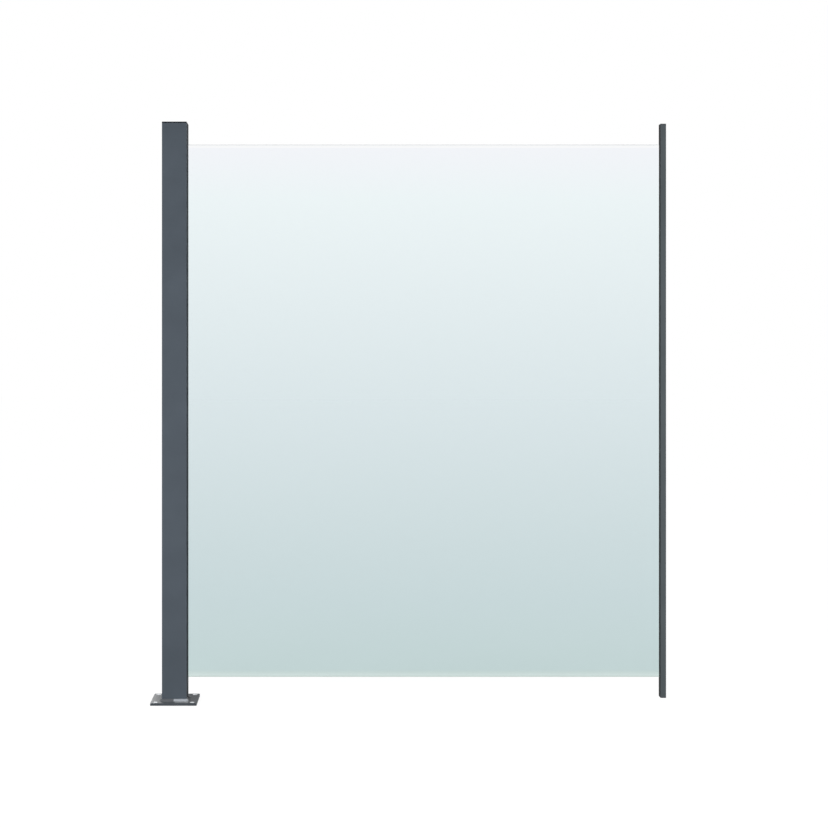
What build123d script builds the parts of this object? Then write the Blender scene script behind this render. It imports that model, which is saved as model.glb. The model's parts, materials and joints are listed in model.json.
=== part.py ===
"""One bay of a glass railing: a welded post, a clear glass sheet and a slim wall profile.

X runs along the railing from the post to the wall, Y runs across it with the front at -Y,
and Z is up. The origin is the centre of the base plate's underside. Sizes are millimetres.
"""

import os

from build123d import *

# Glass
glass_thickness = 8
glass_visible_width = 1544
glass_height = 1740
glass_ground_gap = 79
glass_insertion = 14
glass_edge_chamfer = 0.8

# Glazing groove, the same in the post and the wall profile, with pockets that hold the gaskets
gasket_thickness = 5
seat_start = 2.5
seat_length = 4
seat_depth = 2.5
groove_wall = 2.5

# Gaskets
gasket_heel = 2.5
gasket_nose = 1.5
gasket_lip = 1.6
gasket_lip_thickness = 1
gasket_lip_fillet = 0.5
gasket_relief_depth = 1.2
gasket_fin = 2

# Post
post_side = 80
post_corner_radius = 1
post_wall = 2.5
post_head = 66
post_edge_gap = 6

# Base plate and its weld
plate_side = 150
plate_thickness = 8
plate_corner_radius = 3
plate_edge_chamfer = 0.8
anchor_edge_distance = 15
anchor_hole_diameter = 14
anchor_rim_chamfer = 0.6
weld_leg = 7
weld_toe = 0.5
weld_stop_gap = 1

# Post cap
cap_thickness = 4
cap_edge_fillet = 0.5
cap_spigot_height = 20
cap_spigot_wall = 2.5
cap_clearance = 0.3

# Cover strip of the outer groove
cover_thickness = 1.8
cover_clearance = 0.2
cover_leg_thickness = 1.5
cover_leg_tip = 1.5
cover_barb_clearance = 0.5

# Bars and pads in the grooves
bar_set_back = 1
bar_clearance = 0.5
pad_thickness = 4
filler_gap = 2

# Wall profile
wall_profile_wall = 3.5
wall_profile_back = 3
wall_profile_corner_radius = 1
wall_profile_overhang = 64
wall_edge_gap = 1
wall_screw_rows = 4
wall_screw_end_distance = 64
wall_screw_hole_diameter = 6.5
wall_screw_head_diameter = 11

# End caps of the wall profile
end_cap_thickness = 2.5
end_cap_edge_fillet = 0.6
end_cap_peg_height = 12
end_cap_clearance = 0.3

# Places and sizes worked out from those above
glass_bottom = glass_ground_gap
glass_top = glass_bottom + glass_height
glass_width = glass_visible_width + 2 * glass_insertion
half_glass = glass_thickness / 2
half_groove = half_glass + gasket_thickness
half_seat = half_groove + seat_depth
seat_end = seat_start + seat_length
channel_neck_half = half_groove + groove_wall
channel_seat_half = half_seat + groove_wall
channel_seat_depth = seat_end + groove_wall
post_groove_depth = glass_insertion + post_edge_gap
post_bottom = plate_thickness
post_top = glass_top + post_head
post_length = post_top - post_bottom
post_inner_face = post_side / 2
post_outer_face = -post_side / 2
wall_groove_depth = glass_insertion + wall_edge_gap
wall_profile_width = wall_groove_depth + wall_profile_back
wall_profile_depth = 2 * (half_seat + wall_profile_wall)
wall_inner_face = post_inner_face + glass_visible_width
wall_back_face = wall_inner_face + wall_profile_width
wall_profile_middle = (wall_inner_face + wall_back_face) / 2
wall_profile_bottom = glass_bottom - wall_profile_overhang
wall_profile_top = glass_top + wall_profile_overhang
wall_profile_length = wall_profile_top - wall_profile_bottom
gasket_end = seat_end + gasket_heel

# Every section that touches a groove is drawn with the groove's mouth on X = 0 and its floor
# towards +X, then moved to the wall profile's inner face or turned to face into the post.
FROM_MOUTH = (Align.MIN, Align.CENTER)


def groove_outline(depth):
    """The glazing groove with its two gasket pockets."""
    with BuildSketch() as groove:
        Rectangle(depth, 2 * half_groove, align=FROM_MOUTH)
        with Locations((seat_start, 0)):
            Rectangle(seat_length, 2 * half_seat, align=FROM_MOUTH)
    return groove.sketch


def channel_outline(depth):
    """The metal that lines one groove, drawn solid."""
    with BuildSketch() as channel:
        Rectangle(depth, 2 * channel_neck_half, align=FROM_MOUTH)
        Rectangle(channel_seat_depth, 2 * channel_seat_half, align=FROM_MOUTH)
    return channel.sketch


def gasket_outline():
    """The gasket on the +Y side: a foot in the pocket, two fins on the glass and a covering lip."""
    relief = half_glass + gasket_relief_depth
    lip_edge = half_groove + gasket_lip
    with BuildSketch() as gasket:
        with BuildLine():
            Polyline(
                (-gasket_nose, half_glass),
                (-gasket_nose, half_glass + gasket_fin),
                (-gasket_lip_thickness, lip_edge),
                (0, lip_edge),
                (0, half_groove),
                (seat_start, half_groove),
                (seat_start, half_seat),
                (seat_end, half_seat),
                (seat_end, half_groove),
                (gasket_end, half_groove),
                (gasket_end, half_glass),
                (gasket_end - gasket_fin, half_glass),
                (gasket_end - gasket_fin, relief),
                (gasket_fin, relief),
                (gasket_fin, half_glass),
                close=True,
            )
        make_face()
        lip_corners = gasket.vertices().filter_by(lambda v: v.X < 0 and v.Y > half_glass)
        fillet(lip_corners, radius=gasket_lip_fillet)
    return gasket.sketch


def gasket_along(outline, mouth_x, turn, bottom, top):
    """A full-height gasket. The turn is 0 in the wall profile and 180 degrees in the post."""
    with BuildPart() as gasket:
        with BuildSketch(Plane.XY.offset(bottom)):
            with Locations((mouth_x, 0)):
                add(outline, rotation=turn)
        extrude(amount=top - bottom)
    return gasket.part


def bar_between_gaskets(mouth_x, into, end_depth, bottom, top):
    """A flat piece as thick as the glass. It stands between the gaskets, down to end_depth."""
    with BuildPart() as bar:
        with BuildSketch(Plane.XY.offset(bottom)):
            with Locations((mouth_x + into * (bar_set_back + end_depth) / 2, 0)):
                Rectangle(end_depth - bar_set_back, glass_thickness)
        extrude(amount=top - bottom)
    return bar.part


def cover_outline():
    """The strip in the outer groove: a flush face and two barbed legs that snap into the pockets."""
    strip_half = half_groove - cover_clearance
    leg_inside = strip_half - cover_leg_thickness
    leg_end = seat_end + cover_leg_tip
    barb_start = seat_start + cover_clearance
    with BuildSketch() as cover:
        Rectangle(cover_thickness, 2 * strip_half, align=FROM_MOUTH)
        with BuildLine():
            Polyline(
                (cover_thickness, leg_inside),
                (cover_thickness, strip_half),
                (barb_start, strip_half),
                (barb_start, half_seat - cover_barb_clearance),
                (seat_end - cover_clearance, strip_half),
                (leg_end, (strip_half + leg_inside) / 2),
                (leg_end, leg_inside),
                close=True,
            )
        make_face()
        mirror(about=Plane.XZ)
    return cover.sketch


def weld_run(side):
    """The fillet weld on the front (side -1) or rear (side 1) half of the post's foot."""
    foot_side = post_side + 2 * weld_leg
    top_side = post_side + 2 * weld_toe
    run_start = half_groove + gasket_lip + weld_stop_gap
    run_align = (Align.CENTER, Align.MIN if side > 0 else Align.MAX)
    with BuildPart() as weld:
        with BuildSketch(Plane.XY.offset(post_bottom)):
            RectangleRounded(foot_side, foot_side, post_corner_radius + weld_leg / 2)
        with BuildSketch(Plane.XY.offset(post_bottom + weld_leg)):
            RectangleRounded(top_side, top_side, post_corner_radius + weld_toe)
        loft()
        with BuildSketch(Plane.XY.offset(post_bottom)):
            RectangleRounded(post_side, post_side, post_corner_radius)
        extrude(amount=weld_leg, mode=Mode.SUBTRACT)
        with BuildSketch(Plane.XY.offset(post_bottom)):
            with Locations((0, side * run_start)):
                Rectangle(foot_side, foot_side, align=run_align)
        extrude(amount=weld_leg, mode=Mode.INTERSECT)
    return weld.part


def wall_end_cap(bottom, peg_side):
    """An end cap of the wall profile, with pegs behind the gaskets that point up (1) or down (-1)."""
    peg_inner = half_glass + end_cap_clearance
    peg_outer = half_groove - end_cap_clearance
    peg_length = wall_groove_depth - gasket_end - 2 * end_cap_clearance
    peg_x = wall_inner_face + (gasket_end + wall_groove_depth) / 2
    peg_y = (peg_inner + peg_outer) / 2
    peg_root = bottom + end_cap_thickness if peg_side > 0 else bottom
    with BuildPart() as end_cap:
        with BuildSketch(Plane.XY.offset(bottom)):
            with Locations((wall_profile_middle, 0)):
                RectangleRounded(wall_profile_width, wall_profile_depth, wall_profile_corner_radius)
        extrude(amount=end_cap_thickness)
        outside = end_cap.faces().sort_by(Axis.Z)[0 if peg_side > 0 else -1]
        fillet(outside.edges(), radius=end_cap_edge_fillet)
        with BuildSketch(Plane.XY.offset(peg_root)):
            with Locations((peg_x, -peg_y), (peg_x, peg_y)):
                Rectangle(peg_length, peg_outer - peg_inner)
        extrude(amount=peg_side * end_cap_peg_height)
    return end_cap.part


# Base plate with an anchor hole near each corner
with BuildPart() as base_plate:
    with BuildSketch():
        RectangleRounded(plate_side, plate_side, plate_corner_radius)
    extrude(amount=plate_thickness)
    chamfer(base_plate.faces().sort_by(Axis.Z)[-1].edges(), length=plate_edge_chamfer)
    anchor_spacing = plate_side - 2 * anchor_edge_distance
    with BuildSketch():
        with GridLocations(anchor_spacing, anchor_spacing, 2, 2):
            Circle(anchor_hole_diameter / 2)
    extrude(amount=plate_thickness, mode=Mode.SUBTRACT)
    anchor_rims = base_plate.faces().sort_by(Axis.Z)[-1].inner_wires().edges()
    chamfer(anchor_rims, length=anchor_rim_chamfer)

# Square post with a glazing groove on its inner face and another on its outer face
with BuildPart() as post:
    with BuildSketch(Plane.XY.offset(post_bottom)):
        RectangleRounded(post_side, post_side, post_corner_radius)
        chamber_side = post_side - 2 * post_wall
        Rectangle(chamber_side, chamber_side, mode=Mode.SUBTRACT)
        for mouth_x, turn in ((post_outer_face, 0), (post_inner_face, 180)):
            with Locations((mouth_x, 0)):
                add(channel_outline(post_groove_depth + groove_wall), rotation=turn)
                add(groove_outline(post_groove_depth), rotation=turn, mode=Mode.SUBTRACT)
    extrude(amount=post_length)

# Post cap: a flat plate with a hollow spigot in each side chamber of the post
with BuildPart() as post_cap:
    with BuildSketch(Plane.XY.offset(post_top)):
        RectangleRounded(post_side, post_side, post_corner_radius)
    extrude(amount=cap_thickness)
    fillet(post_cap.faces().sort_by(Axis.Z)[-1].edges(), radius=cap_edge_fillet)
    spigot_length = post_side - 2 * (post_wall + cap_clearance)
    spigot_inner = channel_seat_half + cap_clearance
    spigot_outer = spigot_length / 2
    spigot_width = spigot_outer - spigot_inner
    spigot_y = (spigot_inner + spigot_outer) / 2
    with BuildSketch(Plane.XY.offset(post_top)):
        with Locations((0, -spigot_y), (0, spigot_y)):
            Rectangle(spigot_length, spigot_width)
            Rectangle(
                spigot_length - 2 * cap_spigot_wall,
                spigot_width - 2 * cap_spigot_wall,
                mode=Mode.SUBTRACT,
            )
    extrude(amount=-cap_spigot_height)

# Cover strip that closes the outer groove
with BuildPart() as outer_groove_cover:
    with BuildSketch(Plane.XY.offset(post_bottom)):
        with Locations((post_outer_face, 0)):
            add(cover_outline())
    extrude(amount=post_length)

# Clear toughened glass sheet with ground edges
with BuildPart() as glass_panel:
    with Locations((post_inner_face - glass_insertion, 0, glass_bottom)):
        Box(glass_width, glass_thickness, glass_height, align=(Align.MIN, Align.CENTER, Align.MIN))
    long_edges = glass_panel.edges().filter_by(Axis.X) + glass_panel.edges().filter_by(Axis.Z)
    chamfer(long_edges, length=glass_edge_chamfer)

# Wall profile: the same groove in a slim bar, with screw holes through its back
with BuildPart() as wall_profile:
    with BuildSketch(Plane.XY.offset(wall_profile_bottom)):
        with Locations((wall_profile_middle, 0)):
            RectangleRounded(wall_profile_width, wall_profile_depth, wall_profile_corner_radius)
        with Locations((wall_inner_face, 0)):
            add(groove_outline(wall_groove_depth), mode=Mode.SUBTRACT)
    extrude(amount=wall_profile_length)
    screw_span = wall_profile_length - 2 * wall_screw_end_distance
    screw_pitch = screw_span / (wall_screw_rows - 1)
    screw_plane = Plane(
        origin=(wall_inner_face + wall_groove_depth, 0, wall_profile_bottom + wall_profile_length / 2),
        x_dir=(0, 0, 1),
        z_dir=(-1, 0, 0),
    )
    with Locations(screw_plane):
        with GridLocations(screw_pitch, 0, wall_screw_rows, 1):
            CounterSinkHole(
                radius=wall_screw_hole_diameter / 2,
                counter_sink_radius=wall_screw_head_diameter / 2,
                depth=wall_profile_back,
                counter_sink_angle=90,
            )

# The gaskets run the full height of both grooves, one on each side of the glass.
# Turning a section round to face into the post swaps its front and rear.
rear_gasket = gasket_outline()
front_gasket = mirror(rear_gasket, about=Plane.XZ)
post_span = (post_bottom, post_top)
wall_span = (wall_profile_bottom, wall_profile_top)

# The sheet stands on rubber pads on flat bars, and more bars close the grooves above it
rest_top = glass_bottom - pad_thickness
filler_bottom = glass_top + filler_gap
post_bar_end = post_groove_depth - bar_clearance
wall_bar_end = wall_groove_depth - bar_clearance
in_post = (post_inner_face, -1)
in_wall = (wall_inner_face, 1)

pieces = {
    "base_plate": base_plate.part,
    "base_weld_front": weld_run(-1),
    "base_weld_rear": weld_run(1),
    "post": post.part,
    "post_cap": post_cap.part,
    "outer_groove_cover": outer_groove_cover.part,
    "glass_panel": glass_panel.part,
    "wall_profile": wall_profile.part,
    "wall_profile_bottom_cap": wall_end_cap(wall_profile_bottom - end_cap_thickness, 1),
    "wall_profile_top_cap": wall_end_cap(wall_profile_top, -1),
    "post_gasket_front": gasket_along(rear_gasket, post_inner_face, 180, *post_span),
    "post_gasket_rear": gasket_along(front_gasket, post_inner_face, 180, *post_span),
    "wall_gasket_front": gasket_along(front_gasket, wall_inner_face, 0, *wall_span),
    "wall_gasket_rear": gasket_along(rear_gasket, wall_inner_face, 0, *wall_span),
    "post_glass_rest": bar_between_gaskets(*in_post, post_bar_end, post_bottom, rest_top),
    "wall_glass_rest": bar_between_gaskets(*in_wall, wall_bar_end, wall_profile_bottom, rest_top),
    "post_setting_pad": bar_between_gaskets(*in_post, glass_insertion, rest_top, glass_bottom),
    "wall_setting_pad": bar_between_gaskets(*in_wall, glass_insertion, rest_top, glass_bottom),
    "post_filler_bar": bar_between_gaskets(*in_post, post_bar_end, filler_bottom, post_top),
    "wall_filler_bar": bar_between_gaskets(*in_wall, wall_bar_end, filler_bottom, wall_profile_top),
}

os.makedirs("parts", exist_ok=True)
for name, piece in pieces.items():
    piece.label = name
    export_step(piece, f"parts/{name}.step")
    print(name, round(piece.volume), "cubic mm")
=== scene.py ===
# %% [markdown]
# A glass railing bay: post, glass sheet and wall profile
#
# The bay is already modelled, to size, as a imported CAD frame. This lesson dresses it: a camera and
# a studio that show it as a product picture does, a finish for every piece, and real weld beads
# round the post's foot. Everything is in metres. X runs from the post to the wall, Y from the
# front to the rear, and Z is up. The origin is the centre of the base plate's underside.

# %% Load the frame and keep its box
import json
import math

import bpy
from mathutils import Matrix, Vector


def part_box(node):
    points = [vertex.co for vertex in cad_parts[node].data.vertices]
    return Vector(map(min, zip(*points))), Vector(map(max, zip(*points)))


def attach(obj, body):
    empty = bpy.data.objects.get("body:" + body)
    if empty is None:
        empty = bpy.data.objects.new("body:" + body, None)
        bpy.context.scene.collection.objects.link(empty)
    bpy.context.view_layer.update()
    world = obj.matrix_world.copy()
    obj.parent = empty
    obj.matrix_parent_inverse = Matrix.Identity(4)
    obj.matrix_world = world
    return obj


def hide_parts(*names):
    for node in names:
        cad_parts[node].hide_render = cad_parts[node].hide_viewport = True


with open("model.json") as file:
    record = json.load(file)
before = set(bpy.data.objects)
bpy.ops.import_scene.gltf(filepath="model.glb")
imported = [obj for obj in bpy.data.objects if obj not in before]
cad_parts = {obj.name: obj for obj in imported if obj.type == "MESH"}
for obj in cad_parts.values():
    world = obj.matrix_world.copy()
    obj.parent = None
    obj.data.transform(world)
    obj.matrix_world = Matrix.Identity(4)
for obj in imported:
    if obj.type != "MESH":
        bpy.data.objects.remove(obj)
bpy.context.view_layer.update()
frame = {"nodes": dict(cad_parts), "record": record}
bay_pieces = frame["nodes"]
scene = bpy.context.scene
print("pieces:", len(bay_pieces))


# %% [markdown]
# The camera
#
# A product picture of a tall flat thing keeps its uprights upright. A camera that is tilted down
# makes them lean, so this one is level. It still has to look down on the base plate, which takes
# an eye about 1.2 m high. The lens is then slid sideways and down a little, to bring the bay back
# into the middle of the picture, and that slide is the camera's shift. The column of the post's
# middle says where the eye stands, and the row as high as the eye says how far the lens slides
# down.

# %% Camera
PICTURE_PIXELS = 828
SENSOR_WIDTH = 36.0
METRES_PER_PIXEL = 0.0032702
EYE_DISTANCE = 5.4
EYE_HEIGHT = 1.16
EYE_ROW = 346.1
LENS_SHIFT_X = 0.11
POST_MIDDLE_COLUMN = 175.3

focal_pixels = EYE_DISTANCE / METRES_PER_PIXEL
lens_column = PICTURE_PIXELS * (0.5 - LENS_SHIFT_X)
eye_x = (lens_column - POST_MIDDLE_COLUMN) * METRES_PER_PIXEL

camera_data = bpy.data.cameras.new("level_camera")
camera_data.sensor_width = SENSOR_WIDTH
camera_data.lens = focal_pixels / PICTURE_PIXELS * SENSOR_WIDTH
camera_data.shift_x = LENS_SHIFT_X
camera_data.shift_y = EYE_ROW / PICTURE_PIXELS - 0.5
camera = bpy.data.objects.new("level_camera", camera_data)
camera.location = (eye_x, -EYE_DISTANCE, EYE_HEIGHT)
camera.rotation_euler = (math.radians(90), 0, 0)
scene.collection.objects.link(camera)
scene.camera = camera
print("lens:", round(camera_data.lens, 1), "mm, eye at x", round(eye_x, 3))


# %% [markdown]
# Helpers for nodes
#
# Materials, the world and the weld beads are all node trees. Four small functions keep the code
# that builds them short: one adds a node, one feeds a socket with a link or a number, and two do
# sums. They come first because every later step needs them.

# %% Add a node and feed a socket
def add_node(tree, kind, **settings):
    """A new node with its settings."""
    node = tree.nodes.new(kind)
    for name, value in settings.items():
        setattr(node, name, value)
    return node


def feed(tree, value, socket):
    """Links the value to the socket if it is a socket itself, and sets it otherwise."""
    if isinstance(value, bpy.types.NodeSocket):
        tree.links.new(value, socket)
    elif socket.type == "RGBA":
        socket.default_value = (*value, 1)
    else:
        socket.default_value = value


print("made: add_node and feed")


# %% Sums in a node tree
def calculate(tree, operation, *values):
    """A Math node's result."""
    node = add_node(tree, "ShaderNodeMath", operation=operation)
    for value, socket in zip(values, node.inputs):
        feed(tree, value, socket)
    return node.outputs["Value"]


def calculate_vector(tree, operation, *values):
    """A Vector Math node's result, which is one number for a length and a vector otherwise."""
    node = add_node(tree, "ShaderNodeVectorMath", operation=operation)
    for value, socket in zip(values, node.inputs):
        feed(tree, value, socket)
    return node.outputs["Value" if operation == "LENGTH" else "Vector"]


print("made: calculate and calculate_vector")


# %% [markdown]
# The studio
#
# The picture's background is pure white. More lamps would get there, but they would also bleach
# the metal and the glass. So the world is white only for what looks at it: the camera, and the
# rays that glass and gloss send on. For every other ray it is the studio's plain, soft light. The
# Standard view shows each colour as it is written.

# %% World
PLAIN_LIGHT = 0.55


def seen_directly(tree):
    """1 for camera, glossy and transmission rays, and 0 for the rays that only carry light."""
    path = add_node(tree, "ShaderNodeLightPath")
    either = calculate(tree, "MAXIMUM", path.outputs["Is Camera Ray"],
                       path.outputs["Is Glossy Ray"])
    return calculate(tree, "MAXIMUM", either, path.outputs["Is Transmission Ray"])


scene.view_settings.view_transform = "Standard"
world = bpy.data.worlds.new("white_studio")
world.use_nodes = True
scene.world = world
sky = world.node_tree
background = sky.nodes["Background"]
feed(sky, (1, 1, 1), background.inputs["Color"])
sky_level = calculate(sky, "MULTIPLY_ADD", seen_directly(sky), 1 - PLAIN_LIGHT, PLAIN_LIGHT)
feed(sky, sky_level, background.inputs["Strength"])
print("world nodes:", len(sky.nodes))

# %% [markdown]
# The floor
#
# A real product picture is taken on white paper that runs up behind the object. A curved sheet
# could do that here too, but one large square is enough when it is as white as the world. Most of
# its white is a glow for what looks at it, so no horizon shows through the glass. A matte paint
# adds the rest, and that part keeps the bay's faint shadow.

# %% Floor
FLOOR_HALF = 30.0
FLOOR_COLOUR = (0.2, 0.2, 0.2)
FLOOR_GLOW = 0.89

floor_mesh = bpy.data.meshes.new("studio_floor")
corners = [(x * FLOOR_HALF, y * FLOOR_HALF, 0) for x, y in ((-1, -1), (1, -1), (1, 1), (-1, 1))]
floor_mesh.from_pydata(corners, [], [(0, 1, 2, 3)])
floor = bpy.data.objects.new("studio_floor", floor_mesh)
scene.collection.objects.link(floor)

floor_paint = bpy.data.materials.new("floor_paint")
floor_paint.use_nodes = True
tree = floor_paint.node_tree
tree.nodes.clear()
matte = add_node(tree, "ShaderNodeBsdfDiffuse")
feed(tree, FLOOR_COLOUR, matte.inputs["Color"])
glow = add_node(tree, "ShaderNodeEmission")
feed(tree, calculate(tree, "MULTIPLY", seen_directly(tree), FLOOR_GLOW), glow.inputs["Strength"])
both = add_node(tree, "ShaderNodeAddShader")
feed(tree, matte.outputs["BSDF"], both.inputs[0])
feed(tree, glow.outputs["Emission"], both.inputs[1])
output = add_node(tree, "ShaderNodeOutputMaterial")
feed(tree, both.outputs["Shader"], output.inputs["Surface"])
floor_mesh.materials.append(floor_paint)
print("floor:", 2 * FLOOR_HALF, "m square")


# %% [markdown]
# The lamps
#
# The world alone would light the bay, but flatly, and the metal would be too dark. Two large
# softboxes in front lift the post and the wall profile to the photograph's grey. They don't show
# in gloss, because a softbox mirrored in a pane is a white patch. The key lamp on the left models
# the foot. The rim lamp is low behind the post, where it glances off the plate's top and lifts its
# left part. Each has a grid, as a photographer's softbox can, to keep its light off the floor.
# The rim lamp's grid is narrow, because its light has to fall on the foot alone.

# %% Lamps
def softbox(name, place, aim, side, power, grid=90, mirrored=True):
    """A square area lamp with a grid. It faces a point, and the camera doesn't see it."""
    lamp_data = bpy.data.lights.new(name, "AREA")
    lamp_data.shape = "SQUARE"
    lamp_data.size = side
    lamp_data.energy = power
    lamp_data.spread = math.radians(grid)
    lamp = bpy.data.objects.new(name, lamp_data)
    lamp.location = place
    lamp.rotation_euler = (Vector(aim) - Vector(place)).to_track_quat("-Z", "Y").to_euler()
    lamp.visible_camera = False
    lamp.visible_transmission = False
    lamp.visible_glossy = mirrored
    scene.collection.objects.link(lamp)
    return lamp


lamps = [
    softbox("key_left", place=(-3.0, -1.75, 1.75), aim=(0, 0, 0.3), side=0.7, power=6),
    softbox("front_left", place=(-1.7, -4.4, 1.25), aim=(0, 0, 0.98), side=1.6, power=27.5,
            mirrored=False),
    softbox("front_right", place=(3.3, -4.4, 1.25), aim=(1.5, 0, 0.98), side=1.6, power=29,
            mirrored=False),
    softbox("rim_left", place=(-0.45, 2.0, 0.43), aim=(-0.06, 0, 0), side=0.2, power=0.16,
            grid=20),
]
print("lamps:", {lamp.name: lamp.data.energy for lamp in lamps})


# %% [markdown]
# Tools for finishes
#
# A finish could be an image laid on the piece, but that needs the mesh unwrapped, and a CAD mesh
# is loose triangles. So every finish here is a pattern in the piece's own space, its Object
# coordinates. It has the same scale on every piece, and it doesn't slide when the camera moves.
# The patterns are noises: one value from 0 to 1 that can shade a colour, change a gloss or raise
# a relief.

# %% Materials and noise
def open_material(material):
    """A material's tree, its Principled shader and its Object coordinates."""
    tree = material.node_tree
    return tree, tree.nodes["Principled BSDF"], tree.nodes["Texture Coordinate"].outputs["Object"]


def start_material(name):
    """A new material with a Principled shader, and what open_material gives for it."""
    material = bpy.data.materials.new(name)
    material.use_nodes = True
    add_node(material.node_tree, "ShaderNodeTexCoord")
    return material, *open_material(material)


def noise(tree, place, scale, detail=2.0, stretch=(1, 1, 1)):
    """A noise about 0.5, with as many lumps in a metre as its scale says."""
    mapping = add_node(tree, "ShaderNodeMapping")
    feed(tree, place, mapping.inputs["Vector"])
    feed(tree, stretch, mapping.inputs["Scale"])
    pattern = add_node(tree, "ShaderNodeTexNoise")
    feed(tree, mapping.outputs["Vector"], pattern.inputs["Vector"])
    feed(tree, scale, pattern.inputs["Scale"])
    feed(tree, detail, pattern.inputs["Detail"])
    return pattern.outputs["Fac"]


print("made: open_material, start_material and noise")


# %% Ranges and mixes
NOISE_LOW = 0.3
NOISE_HIGH = 0.7


def remap(tree, value, start, end, low=0.0, high=1.0, shape="LINEAR"):
    """The value's run from start to end, turned into one from low to high."""
    node = add_node(tree, "ShaderNodeMapRange", interpolation_type=shape)
    given_values = {"Value": value, "From Min": start, "From Max": end, "To Min": low,
                    "To Max": high}
    for title, given_value in given_values.items():
        feed(tree, given_value, node.inputs[title])
    return node.outputs["Result"]


def spread(tree, value, low, high):
    """A noise's usual range spread from low to high."""
    return remap(tree, value, NOISE_LOW, NOISE_HIGH, low, high)


def ease(tree, value, start, end, low=0.0, high=1.0):
    """A smooth step from low at start to high at end."""
    return remap(tree, value, start, end, low, high, "SMOOTHSTEP")


def two_colours(tree, mask, first, second):
    """The first colour where the mask is 0, and the second where it is 1."""
    mix = add_node(tree, "ShaderNodeMix", data_type="RGBA")
    feed(tree, mask, mix.inputs["Factor"])
    feed(tree, first, mix.inputs["A"])
    feed(tree, second, mix.inputs["B"])
    return mix.outputs["Result"]


print("a noise's usual range:", NOISE_LOW, "to", NOISE_HIGH)


# %% Relief
def bump(tree, shader, height, strength, distance):
    """Relief over what is already there. A height of 1 stands out by the distance, in metres."""
    relief = add_node(tree, "ShaderNodeBump")
    feed(tree, strength, relief.inputs["Strength"])
    feed(tree, distance, relief.inputs["Distance"])
    feed(tree, height, relief.inputs["Height"])
    if shader.inputs["Normal"].is_linked:
        feed(tree, shader.inputs["Normal"].links[0].from_socket, relief.inputs["Normal"])
    feed(tree, relief.outputs["Normal"], shader.inputs["Normal"])


print("made: bump")


# %% [markdown]
# Powder coat
#
# The metal is aluminium under an anthracite powder coat. One flat colour would do from far away,
# but baked powder isn't flat: it has a soft orange-peel wave of a few millimetres, a fine grain, a
# gloss that changes with the grain, and faint clouds of a decimetre. Three noises give all of it.
# One function makes the whole family, because the post, the plate, the bars and the moulded caps
# differ only in colour, gloss and wave.

# %% Powder coat
CLOUD_SCALE = 9
WAVE_SCALE = 260
GRAIN_SCALE = 1400
SHADE_CHANGE = 0.07
ROUGHNESS_CHANGE = 0.05
WAVE_HEIGHT = 0.0004
GRAIN_HEIGHT = 0.0001


def powder_coat(name, colour, roughness, gloss, peel=0.25):
    """A baked powder coat with clouds, orange peel and a fine grain."""
    material, tree, shader, place = start_material(name)
    cloud = noise(tree, place, CLOUD_SCALE, detail=4)
    wave = noise(tree, place, WAVE_SCALE, detail=1)
    grain = noise(tree, place, GRAIN_SCALE, detail=2)
    darker = [(1 - SHADE_CHANGE) * channel for channel in colour]
    lighter = [(1 + SHADE_CHANGE) * channel for channel in colour]
    shade = two_colours(tree, spread(tree, cloud, 0, 1), darker, lighter)
    dull = spread(tree, grain, roughness - ROUGHNESS_CHANGE, roughness + ROUGHNESS_CHANGE)
    feed(tree, shade, shader.inputs["Base Color"])
    feed(tree, dull, shader.inputs["Roughness"])
    feed(tree, gloss, shader.inputs["Specular IOR Level"])
    bump(tree, shader, wave, peel, WAVE_HEIGHT)
    bump(tree, shader, grain, peel, GRAIN_HEIGHT)
    return material


def dress(material, *names):
    """Gives the CAD nodes their material."""
    for name in names:
        node = bay_pieces[name]
        node.data.materials.clear()
        node.data.materials.append(material)
    print(material.name, "on", ", ".join(names))


print("orange peel about every", round(1000 / WAVE_SCALE, 1), "mm")


# %% Coated metal
POST_GREY = (0.071, 0.086, 0.104)
PROFILE_GREY = (0.079, 0.093, 0.100)
BAR_GREY = (0.03, 0.035, 0.042)

post_coat = powder_coat("post_coat", POST_GREY, roughness=0.72, gloss=0.2)
profile_coat = powder_coat("profile_coat", PROFILE_GREY, roughness=0.72, gloss=0.2)
bar_coat = powder_coat("bar_coat", BAR_GREY, roughness=0.55, gloss=0.3)
dress(post_coat, "post", "outer_groove_cover")
dress(profile_coat, "wall_profile")
dress(bar_coat, "post_glass_rest", "wall_glass_rest", "post_filler_bar", "wall_filler_bar")

# %% [markdown]
# Moulded caps
#
# The caps are plastic, textured in the mould to go with the coat, so they could share its finish.
# But the post's cap is a dark line in the photograph, and the wall profile's caps are as grey as
# the profile. They get colours of their own from the same function.

# %% Caps
POST_CAP_BLACK = (0.010, 0.012, 0.015)
END_CAP_GREY = (0.07, 0.077, 0.083)

post_cap_plastic = powder_coat("post_cap_plastic", POST_CAP_BLACK, roughness=0.7, gloss=0.1)
end_cap_plastic = powder_coat("end_cap_plastic", END_CAP_GREY, roughness=0.65, gloss=0.2)
dress(post_cap_plastic, "post_cap")
dress(end_cap_plastic, "wall_profile_top_cap", "wall_profile_bottom_cap")
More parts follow.
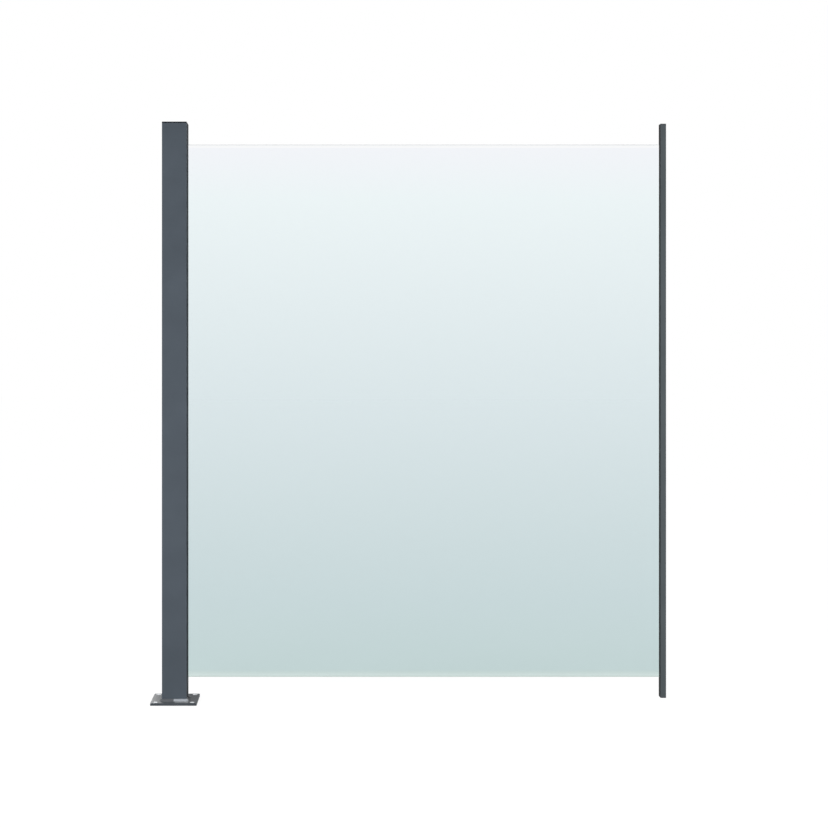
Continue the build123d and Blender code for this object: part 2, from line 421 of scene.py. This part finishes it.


# %% [markdown]
# Painted highlights and bare metal on the foot
#
# The foot has places with another finish: a lighter grey painted on as a highlight and a sheen,
# and holes that were drilled. They could be faces with a second material, but a painted highlight
# doesn't end where a face does. So one finish lies over another, and a mask says where: 0 keeps
# what is below, and 1 shows what is on top. Two masks are enough. A soft, ragged rectangle is a
# painted highlight, and a circle is a drilled hole.

# %% One finish over another
def lay_over(tree, shader, mask, colour, roughness, metallic=None):
    """Mixes a second finish over what the shader already has, where the mask is 1."""
    base = shader.inputs["Base Color"]
    feed(tree, two_colours(tree, mask, base.links[0].from_socket, colour), base)
    for name, value in (("Roughness", roughness), ("Metallic", metallic)):
        if value is None:
            continue
        socket = shader.inputs[name]
        mix = add_node(tree, "ShaderNodeMix", data_type="FLOAT")
        below = socket.links[0].from_socket if socket.is_linked else socket.default_value
        feed(tree, below, mix.inputs["A"])
        feed(tree, value, mix.inputs["B"])
        feed(tree, mask, mix.inputs["Factor"])
        feed(tree, mix.outputs["Result"], socket)


print("made: lay_over")


# %% Masks
RAGGED_SCALE = 140
HOLE_BLUR = 0.0003


def axis_of(tree, place, axis):
    """One coordinate of a place."""
    split = add_node(tree, "ShaderNodeSeparateXYZ")
    feed(tree, place, split.inputs["Vector"])
    return split.outputs[axis]


def patch(tree, place, x_range, y_range, soft, ragged):
    """1 inside a rectangle seen from above, with a soft and ragged edge, and 0 outside it."""
    drift = noise(tree, place, RAGGED_SCALE, detail=3)
    inside = []
    for axis, (low, high) in (("X", x_range), ("Y", y_range)):
        value = calculate(tree, "MULTIPLY_ADD", drift, ragged, axis_of(tree, place, axis))
        value = calculate(tree, "SUBTRACT", value, ragged / 2)
        entered = ease(tree, value, low - soft, low + soft)
        leaving = ease(tree, value, high - soft, high + soft, 1.0, 0.0)
        inside.append(calculate(tree, "MULTIPLY", entered, leaving))
    return calculate(tree, "MULTIPLY", *inside)


def anchor_mask(tree, place, spacing, radius):
    """1 inside the four anchor holes. Folding the plate over both axes makes them one hole."""
    folded = calculate_vector(tree, "ABSOLUTE", place)
    from_hole = calculate_vector(tree, "SUBTRACT", folded, (spacing / 2, spacing / 2, 0))
    level = calculate_vector(tree, "MULTIPLY", from_hole, (1, 1, 0))
    reach = calculate_vector(tree, "LENGTH", level)
    return remap(tree, reach, radius, radius + HOLE_BLUR, 1, 0)


print("made: axis_of, patch and anchor_mask")


# %% [markdown]
# Base plate
#
# The plate's coat is flatter than the post's, and a little darker, as painted shade for its front
# face near the floor. Its gloss is low and catches the rim lamp only at the flat angle of the
# picture. In front of the weld, on the right, a lighter grey is painted on as a highlight, with a
# faint painted sheen all along the weld. A patch of noise makes each. The four anchor holes were
# drilled after the coating, so their walls and rims are bare metal. All these places follow the
# post, its weld and the holes, which the frame gives.

# %% Places on the foot
# Where the painted highlight and the painted sheen lie, in front of the post.
HIGHLIGHT_START = 0.004
HIGHLIGHT_REACH = 0.028
SHEEN_REACH = 0.032
HIGHLIGHT_OVERLAP = 0.004
BARE_RIM = 0.0006

post_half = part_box("post")[1][0]
weld_low, weld_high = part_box("base_weld_front")
weld_end = weld_high[0]
highlight_x = (HIGHLIGHT_START, weld_end)
highlight_y = (-post_half - HIGHLIGHT_REACH, HIGHLIGHT_OVERLAP - post_half)
sheen_x = (HIGHLIGHT_OVERLAP - weld_end, weld_end)
sheen_y = (-post_half - SHEEN_REACH, HIGHLIGHT_OVERLAP - post_half)

mounts = {mount["name"]: mount for mount in frame["record"]["mounts"]}
hole_sizes = mounts["anchor_holes"]["dims"]
anchor_spacing = hole_sizes["spacing_x_mm"] / 1000
bare_radius = hole_sizes["hole_r_mm"] / 1000 + BARE_RIM
print("anchor holes:", anchor_spacing, "m apart, bare to a radius of", round(bare_radius, 4), "m")

# %% Base plate
SHEEN_SHARE = 0.25
# A little darker than the post's grey: painted shade for the plate's front face near the floor.
PLATE_GREY = (0.064, 0.073, 0.083)
# The lighter grey of the painted highlight and the painted sheen.
PAINTED_HIGHLIGHT_GREY = (0.32, 0.335, 0.35)
BARE_METAL = (0.95, 0.96, 0.98)

plate_coat = powder_coat("plate_coat", PLATE_GREY, roughness=0.3, gloss=0.015, peel=0.12)
tree, shader, place = open_material(plate_coat)
# A faint painted sheen all along the front of the weld.
painted_sheen = patch(tree, place, sheen_x, sheen_y, soft=0.005, ragged=0.004)
thin_painted_sheen = calculate(tree, "MULTIPLY", painted_sheen, SHEEN_SHARE)
lay_over(tree, shader, thin_painted_sheen, PAINTED_HIGHLIGHT_GREY, roughness=0.5)
# The painted highlight on the right, in front of the weld.
drift = patch(tree, place, highlight_x, highlight_y, soft=0.003, ragged=0.004)
lay_over(tree, shader, drift, PAINTED_HIGHLIGHT_GREY, roughness=0.5)
bare = anchor_mask(tree, place, anchor_spacing, bare_radius)
lay_over(tree, shader, bare, BARE_METAL, roughness=0.3, metallic=1.0)
dress(plate_coat, "base_plate")
print("plate_coat nodes:", len(tree.nodes))


# %% [markdown]
# The weld beads
#
# A fillet weld is laid in small overlapping pools, and each pool freezes as a curved ripple. Its
# section is a triangle with a slightly full face, it starts and ends thinner, and it turns round
# the post's corners. The CAD frame has it as a plain bevel. The bevel could be displaced, but it
# has no points to move. A bead could be sculpted by hand, but the ripples follow a rule. So
# Geometry Nodes sweep a section along the weld's path and push its surface out by the ripples.
# Two beads, one on each half of the foot, come from one tree with named inputs.

# %% A tree with named inputs
def make_group(name, sockets):
    """A Geometry Nodes tree with named inputs. Each socket is a name, a kind and a value."""
    tree = bpy.data.node_groups.new(name, "GeometryNodeTree")
    face = tree.interface
    face.new_socket("Geometry", in_out="INPUT", socket_type="NodeSocketGeometry")
    face.new_socket("Geometry", in_out="OUTPUT", socket_type="NodeSocketGeometry")
    for title, kind, value in sockets:
        socket = face.new_socket(title, in_out="INPUT", socket_type=kind)
        if value is not None:
            socket.default_value = value
    return tree, tree.nodes.new("NodeGroupInput"), tree.nodes.new("NodeGroupOutput")


bead_tree, given, result = make_group("weld_bead", [
    ("Section", "NodeSocketObject", None),
    ("Leg", "NodeSocketFloat", 0.007),
    ("Corner Radius", "NodeSocketFloat", 0.001),
    ("Step", "NodeSocketFloat", 0.0004),
    ("Ripple Pitch", "NodeSocketFloat", 0.003),
    ("Ripple Height", "NodeSocketFloat", 0.0007),
    ("Ground From", "NodeSocketFloat", 1.0),
    ("Ground To", "NodeSocketFloat", 1.0),
    ("Seed", "NodeSocketInt", 1),
    ("Finish", "NodeSocketMaterial", None),
])
link = bead_tree.links.new
print("inputs:", [socket.name for socket in given.outputs if socket.name])

# %% [markdown]
# The path is a line of four points round half of the post. Its corners are rounded and it is cut
# into even steps, which are the rings of the swept surface. A sweep forgets where its rings came
# from, so two things are noted on each step first: how far along the weld it is, and its place.

# %% Path of the bead
CORNER_STEPS = 6

to_curve = add_node(bead_tree, "GeometryNodeMeshToCurve")
link(given.outputs["Geometry"], to_curve.inputs["Mesh"])
rounded = add_node(bead_tree, "GeometryNodeFilletCurve", mode="POLY")
rounded.inputs["Count"].default_value = CORNER_STEPS
link(to_curve.outputs["Curve"], rounded.inputs["Curve"])
link(given.outputs["Corner Radius"], rounded.inputs["Radius"])
stepped = add_node(bead_tree, "GeometryNodeResampleCurve", mode="LENGTH")
link(rounded.outputs["Curve"], stepped.inputs["Curve"])
link(given.outputs["Step"], stepped.inputs["Length"])
upright = add_node(bead_tree, "GeometryNodeSetCurveNormal", mode="Z_UP")
link(stepped.outputs["Curve"], upright.inputs["Curve"])
along = add_node(bead_tree, "GeometryNodeSplineParameter")
here = add_node(bead_tree, "GeometryNodeInputPosition")
kept = add_node(bead_tree, "GeometryNodeCaptureAttribute", domain="POINT")
kept.capture_items.new("FLOAT", "Length")
kept.capture_items.new("VECTOR", "Root")
link(upright.outputs["Curve"], kept.inputs["Geometry"])
link(along.outputs["Length"], kept.inputs["Length"])
link(here.outputs["Position"], kept.inputs["Root"])
print("path nodes:", len(bead_tree.nodes))

# %% [markdown]
# The section is swept along the path. A welder starts and stops with a smaller pool, so the
# section's size is eased up from the start and down to the stop.

# %% Sweep of the section
END_TAPER = 0.005
END_SHARE = 0.45


def maths(operation, *values):
    """A Math node's result in the bead's tree."""
    return calculate(bead_tree, operation, *values)


whole = add_node(bead_tree, "GeometryNodeCurveLength")
link(rounded.outputs["Curve"], whole.inputs["Curve"])
left_over = maths("SUBTRACT", whole.outputs["Length"], along.outputs["Length"])
near_end = maths("MINIMUM", along.outputs["Length"], left_over)
taper = ease(bead_tree, near_end, 0.0, END_TAPER, END_SHARE, 1.0)
section_info = add_node(bead_tree, "GeometryNodeObjectInfo")
link(given.outputs["Section"], section_info.inputs["Object"])
section_curve = add_node(bead_tree, "GeometryNodeMeshToCurve")
link(section_info.outputs["Geometry"], section_curve.inputs["Mesh"])
sweep = add_node(bead_tree, "GeometryNodeCurveToMesh")
sweep.inputs["Fill Caps"].default_value = True
link(kept.outputs["Geometry"], sweep.inputs["Curve"])
link(section_curve.outputs["Curve"], sweep.inputs["Profile Curve"])
link(maths("MULTIPLY", taper, given.outputs["Leg"]), sweep.inputs["Scale"])
print("with the sweep:", len(bead_tree.nodes))

# %% [markdown]
# The ripples are a wave along the weld's length, one lobe for each pool. Its phase is held back
# where the surface faces halfway between up and out, at the crown, so each ripple is a curve. A
# random number for each pool makes some stand out more than others.

# %% Ripples
CROWN_TRAIL = 0.45
UNEVEN_FROM = 0.7
UNEVEN_TO = 1.1


def socket_of(sockets, identifier):
    """The socket with this identifier, where several have one name."""
    return next(socket for socket in sockets if socket.identifier == identifier)


now = add_node(bead_tree, "GeometryNodeInputPosition")
out = calculate_vector(bead_tree, "SUBTRACT", now.outputs["Position"], kept.outputs["Root"])
direction = calculate_vector(bead_tree, "NORMALIZE", out)
rise = maths("MAXIMUM", axis_of(bead_tree, direction, "Z"), 0.0)
level = maths("SUBTRACT", 1.0, maths("MULTIPLY", rise, rise))
flatness = maths("SQRT", maths("MAXIMUM", level, 0.0))
crown = maths("MULTIPLY", 2.0, maths("MULTIPLY", rise, flatness))
turns = maths("DIVIDE", kept.outputs["Length"], given.outputs["Ripple Pitch"])
phase = maths("SUBTRACT", turns, maths("MULTIPLY", crown, CROWN_TRAIL))
centred = maths("MULTIPLY_ADD", maths("FRACT", phase), 2.0, -1.0)
lobe = maths("SUBTRACT", 1.0, maths("MULTIPLY", centred, centred))
uneven = add_node(bead_tree, "FunctionNodeRandomValue", data_type="FLOAT")
socket_of(uneven.inputs, "Min_001").default_value = UNEVEN_FROM
socket_of(uneven.inputs, "Max_001").default_value = UNEVEN_TO
link(maths("FLOOR", phase), uneven.inputs["ID"])
link(given.outputs["Seed"], uneven.inputs["Seed"])
ripple = maths("MULTIPLY", lobe, socket_of(uneven.outputs, "Value_001"))
print("with the ripples:", len(bead_tree.nodes))

# %% [markdown]
# A grinder took most of the ripples off one stretch of the front bead. The stretch is two lengths
# along the weld, and its ends fade.

# %% Ground stretch
GRIND_FADE = 0.003
GRIND_SHARE = 0.85

fade_from = maths("SUBTRACT", given.outputs["Ground From"], GRIND_FADE)
fade_to = maths("ADD", given.outputs["Ground To"], GRIND_FADE)
begun = ease(bead_tree, kept.outputs["Length"], fade_from, given.outputs["Ground From"])
ended = ease(bead_tree, kept.outputs["Length"], given.outputs["Ground To"], fade_to)
ground = maths("MULTIPLY", begun, maths("SUBTRACT", 1.0, ended))
ripple_left = maths("MULTIPLY", ripple, maths("MULTIPLY_ADD", ground, -GRIND_SHARE, 1.0))
print("with the grinding:", len(bead_tree.nodes))

# %% [markdown]
# Each point moves away from its place on the path by what is left of its ripple. The last two
# nodes turn the result into real geometry and give it its finish.

# %% Push the surface out, and finish the tree
push = add_node(bead_tree, "ShaderNodeVectorMath", operation="SCALE")
link(direction, push.inputs["Vector"])
link(maths("MULTIPLY", ripple_left, given.outputs["Ripple Height"]), push.inputs["Scale"])
moved = add_node(bead_tree, "GeometryNodeSetPosition")
link(sweep.outputs["Mesh"], moved.inputs["Geometry"])
link(push.outputs["Vector"], moved.inputs["Offset"])
smooth = add_node(bead_tree, "GeometryNodeSetShadeSmooth")
link(moved.outputs["Geometry"], smooth.inputs["Geometry"])
real = add_node(bead_tree, "GeometryNodeRealizeInstances")
link(smooth.outputs["Geometry"], real.inputs["Geometry"])
coated = add_node(bead_tree, "GeometryNodeSetMaterial")
link(real.outputs["Geometry"], coated.inputs["Geometry"])
link(given.outputs["Finish"], coated.inputs["Material"])
link(coated.outputs["Geometry"], result.inputs["Geometry"])
print("whole tree:", len(bead_tree.nodes), "nodes")


# %% [markdown]
# A tree runs as a modifier. Its inputs are set by each socket's identifier, before the modifier
# is worked out for the first time. Then the result is copied into a plain mesh, and the path goes
# with its modifier, so the finished bead is an ordinary piece whose place is in its mesh.

# %% Lay a bead on a path
def mesh_object(name, points, edges):
    """An object of points and edges."""
    mesh = bpy.data.meshes.new(name)
    mesh.from_pydata(points, edges, [])
    piece = bpy.data.objects.new(name, mesh)
    scene.collection.objects.link(piece)
    return piece


def lay_bead(name, run, values):
    """Runs the bead's tree on a run of points and keeps the result as a plain mesh."""
    steps = [(start, start + 1) for start in range(len(run) - 1)]
    path = mesh_object(name + "_path", run, steps)
    modifier = path.modifiers.new("lay_bead", "NODES")
    modifier.node_group = bead_tree
    identifiers = {socket.name: socket.identifier for socket in bead_tree.interface.items_tree
                   if socket.in_out == "INPUT"}
    for title, value in values.items():
        modifier[identifiers[title]] = value
    bpy.context.view_layer.update()
    evaluated = path.evaluated_get(bpy.context.evaluated_depsgraph_get())
    mesh = bpy.data.meshes.new_from_object(evaluated)
    mesh.name = name
    piece = bpy.data.objects.new(name, mesh)
    scene.collection.objects.link(piece)
    bpy.data.objects.remove(path)
    print(name, len(mesh.vertices), "points,", len(mesh.polygons), "faces")
    return piece


print("made: mesh_object and lay_bead")


# %% [markdown]
# The bead was coated with the post. Its ground stretch, on the right half of the front, is painted
# a lighter, slightly metallic grey as a painted highlight, a pale bar there. It could be mixed by
# the length along the weld, but the patch that paints the plate's highlight does it as well.

# %% Weld coat
# Where the weld's painted highlight lies, on the ground stretch.
WELD_HIGHLIGHT_START = -0.001
WELD_HIGHLIGHT_MARGIN = 0.001
WELD_HIGHLIGHT_REACH = 0.020
WELD_HIGHLIGHT_OVERLAP = 0.003
WELD_HIGHLIGHT_GREY = (0.36, 0.385, 0.42)
WELD_GREY = (0.085, 0.092, 0.102)

weld_highlight_x = (WELD_HIGHLIGHT_START, weld_end - WELD_HIGHLIGHT_MARGIN)
weld_highlight_y = (-post_half - WELD_HIGHLIGHT_REACH, WELD_HIGHLIGHT_OVERLAP - post_half)

weld_coat = powder_coat("weld_coat", WELD_GREY, roughness=0.42, gloss=0.5)
tree, shader, place = open_material(weld_coat)
# The painted highlight on the ground stretch, lighter and a little metallic.
weld_highlight = patch(tree, place, weld_highlight_x, weld_highlight_y, soft=0.0015, ragged=0.003)
lay_over(tree, shader, weld_highlight, WELD_HIGHLIGHT_GREY, roughness=0.4, metallic=0.2)
print("weld_coat nodes:", len(tree.nodes))

# %% [markdown]
# The section is drawn one unit high and scaled by the tree. Its face is a little fuller than
# straight, and its root is sunk into the post and the plate, so that no gap shows under the bead.

# %% Section of the bead
SECTION_STEPS = 10
FULL_FACE = 0.10
ROOT_SINK = 0.05

section_points = []
for step in range(SECTION_STEPS + 1):
    share = step / SECTION_STEPS
    swell = 1 + FULL_FACE * 4 * share * (1 - share)
    section_points.append((share * swell, (share - 1) * swell, 0))
section_points += [(1, ROOT_SINK, 0), (-ROOT_SINK, ROOT_SINK, 0), (-ROOT_SINK, -1, 0)]
corner_count = len(section_points)
section_edges = [(start, (start + 1) % corner_count) for start in range(corner_count)]
section = mesh_object("bead_section", section_points, section_edges)
print("section points:", corner_count)

# %% [markdown]
# Both beads lie where the CAD welds are, and replace them. Their sizes are read from the frame. The
# rear bead isn't ground, so its ground stretch lies beyond its end.

# %% Front and rear bead
GROUND_STRETCHES = {"front": (0.066, 0.112), "rear": (1.0, 1.0)}
SEEDS = {"front": 2, "rear": 4}

plate_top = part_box("base_plate")[1][2]
weld_stop = -weld_high[1]
weld_leg = weld_high[2] - weld_low[2]

for side, name in ((-1, "front"), (1, "rear")):
    run = [(side * post_half, side * weld_stop, plate_top),
           (side * post_half, side * post_half, plate_top),
           (-side * post_half, side * post_half, plate_top),
           (-side * post_half, side * weld_stop, plate_top)]
    ground_from, ground_to = GROUND_STRETCHES[name]
    bead = lay_bead(f"{name}_weld_bead", run, {
        "Section": section,
        "Leg": weld_leg,
        "Ground From": ground_from,
        "Ground To": ground_to,
        "Seed": SEEDS[name],
        "Finish": weld_coat,
    })
    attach(bead, "root")
    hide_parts(f"base_weld_{name}")
bpy.data.objects.remove(section)


# %% [markdown]
# Rubber
#
# The gaskets are extruded rubber, matte black, with fine drawing lines along their length. The
# lines could be modelled, but they are far thinner than a millimetre, so a relief is enough. The
# noise is stretched in the upright direction, so that its grains become those lines. The pads
# under the glass are cut from the same rubber.

# %% Rubber
BLACKER = (0.012, 0.012, 0.013)
GREYER = (0.02, 0.02, 0.022)
LINE_SCALE = 1500
LINE_STRETCH = (1, 1, 0.004)
LINE_HEIGHT = 0.0002
LINE_STRENGTH = 0.4
RUBBER_ROUGHNESS = (0.55, 0.7)
RUBBER_GLOSS = 0.3

rubber, tree, shader, place = start_material("extruded_rubber")
lines = noise(tree, place, LINE_SCALE, stretch=LINE_STRETCH)
shade = two_colours(tree, spread(tree, lines, 0, 1), BLACKER, GREYER)
feed(tree, shade, shader.inputs["Base Color"])
feed(tree, spread(tree, lines, *RUBBER_ROUGHNESS), shader.inputs["Roughness"])
feed(tree, RUBBER_GLOSS, shader.inputs["Specular IOR Level"])
bump(tree, shader, lines, LINE_STRENGTH, LINE_HEIGHT)
dress(rubber, "post_gasket_front", "post_gasket_rear", "wall_gasket_front", "wall_gasket_rear",
      "post_setting_pad", "wall_setting_pad")


# %% [markdown]
# Glass
#
# The sheet is clear, and it is drawn as a soft gradient: nearly white at the top and a grey green
# at the bottom. A real sheet gets that from what stands behind it, and a shaded backdrop could do
# it here. But a backdrop is right from one side only. So the glass's tint carries a painted shade
# that changes with height, lighter at the top and darker at the bottom, which stays with the sheet
# in every view. Five colours make the painted gradient, and thin lines along the bottom and the top
# are painted reflections of the bevels. Each stop is a share of the sheet's height and the tint
# there.

# %% Painted shading of the glass
PALE_LINE = (0.599, 0.707, 0.691)
DARK_LINE = (0.818, 0.837, 0.850)
BRIGHT_LINE = (1.0, 1.0, 1.0)

bottom_reflections = [
    (0.0, (0.570, 0.660, 0.629)),
    (0.0019, PALE_LINE),
    (0.0038, PALE_LINE),
    (0.0095, (0.530, 0.640, 0.622)),
]
gradient = [
    (0.0125, (0.513, 0.632, 0.632)),
    (0.145, (0.548, 0.660, 0.675)),
    (0.520, (0.694, 0.783, 0.806)),
    (0.896, (0.833, 0.905, 0.918)),
    (0.9935, (0.887, 0.905, 0.942)),
]
top_reflections = [
    (0.9945, DARK_LINE),
    (0.9955, DARK_LINE),
    (0.9963, BRIGHT_LINE),
    (0.9975, BRIGHT_LINE),
    (0.9985, DARK_LINE),
    (1.0, DARK_LINE),
]
# Painted shade and painted bevel reflections over the glass's grey-green tint.
painted_shade_stops = bottom_reflections + gradient + top_reflections
print("tints:", len(painted_shade_stops))

# %% Painted shade by height
glass, tree, shader, place = start_material("float_glass")
glass_low, glass_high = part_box("glass_panel")
ramp = add_node(tree, "ShaderNodeValToRGB")
stops = ramp.color_ramp.elements
while len(stops) < len(painted_shade_stops):
    stops.new(0.5)
for stop, (share, tint) in zip(stops, painted_shade_stops):
    stop.position = share
    stop.color = (*tint, 1)
height = axis_of(tree, place, "Z")
feed(tree, remap(tree, height, glass_low[2], glass_high[2]), ramp.inputs["Fac"])
print("tinted from", round(glass_low[2], 3), "to", round(glass_high[2], 3))

# %% [markdown]
# The narrow faces of a glass sheet are ground, not clear, and the glass looks green there, since
# one looks along its width. They could have a material of their own, but the sheet's mesh stays as
# the CAD has it. A face's direction tells them apart as well: on the broad faces the normal lies
# along Y, and on the narrow ones it doesn't.

# %% Ground edges
NARROW_BELOW = 0.3
BROAD_ABOVE = 0.6
EDGE_GREEN = (0.34, 0.56, 0.48)
EDGE_CLEARNESS = 0.4
EDGE_ROUGHNESS = (0.25, 0.35)
GRINDING_SCALE = 900
GLASS_IOR = 1.5

facing = add_node(tree, "ShaderNodeNewGeometry")
across = calculate(tree, "ABSOLUTE", axis_of(tree, facing.outputs["Normal"], "Y"))
edge = ease(tree, across, NARROW_BELOW, BROAD_ABOVE, 1.0, 0.0)
grinding = spread(tree, noise(tree, place, GRINDING_SCALE), *EDGE_ROUGHNESS)
tint = two_colours(tree, edge, ramp.outputs["Color"], EDGE_GREEN)
feed(tree, tint, shader.inputs["Base Color"])
feed(tree, calculate(tree, "MULTIPLY", edge, grinding), shader.inputs["Roughness"])
feed(tree, remap(tree, edge, 0, 1, 1, EDGE_CLEARNESS), shader.inputs["Transmission Weight"])
feed(tree, GLASS_IOR, shader.inputs["IOR"])
print("glass nodes:", len(tree.nodes))

# %% [markdown]
# A glass shader stops lamps: what is behind it stays dark unless the render looks for caustics,
# which is slow and noisy. A common answer is used here: for shadow rays only, the glass is a plain
# tinted transparency, so that the sheet throws a light shadow and not a black one.

# %% Let the lamps through, and dress the sheet
for_shadows = add_node(tree, "ShaderNodeLightPath")
clear = add_node(tree, "ShaderNodeBsdfTransparent")
# The shadow takes the glass's painted shade by height as its colour.
feed(tree, ramp.outputs["Color"], clear.inputs["Color"])
either = add_node(tree, "ShaderNodeMixShader")
feed(tree, for_shadows.outputs["Is Shadow Ray"], either.inputs["Fac"])
feed(tree, shader.outputs["BSDF"], either.inputs[1])
feed(tree, clear.outputs["BSDF"], either.inputs[2])
feed(tree, either.outputs["Shader"], tree.nodes["Material Output"].inputs["Surface"])
dress(glass, "glass_panel")
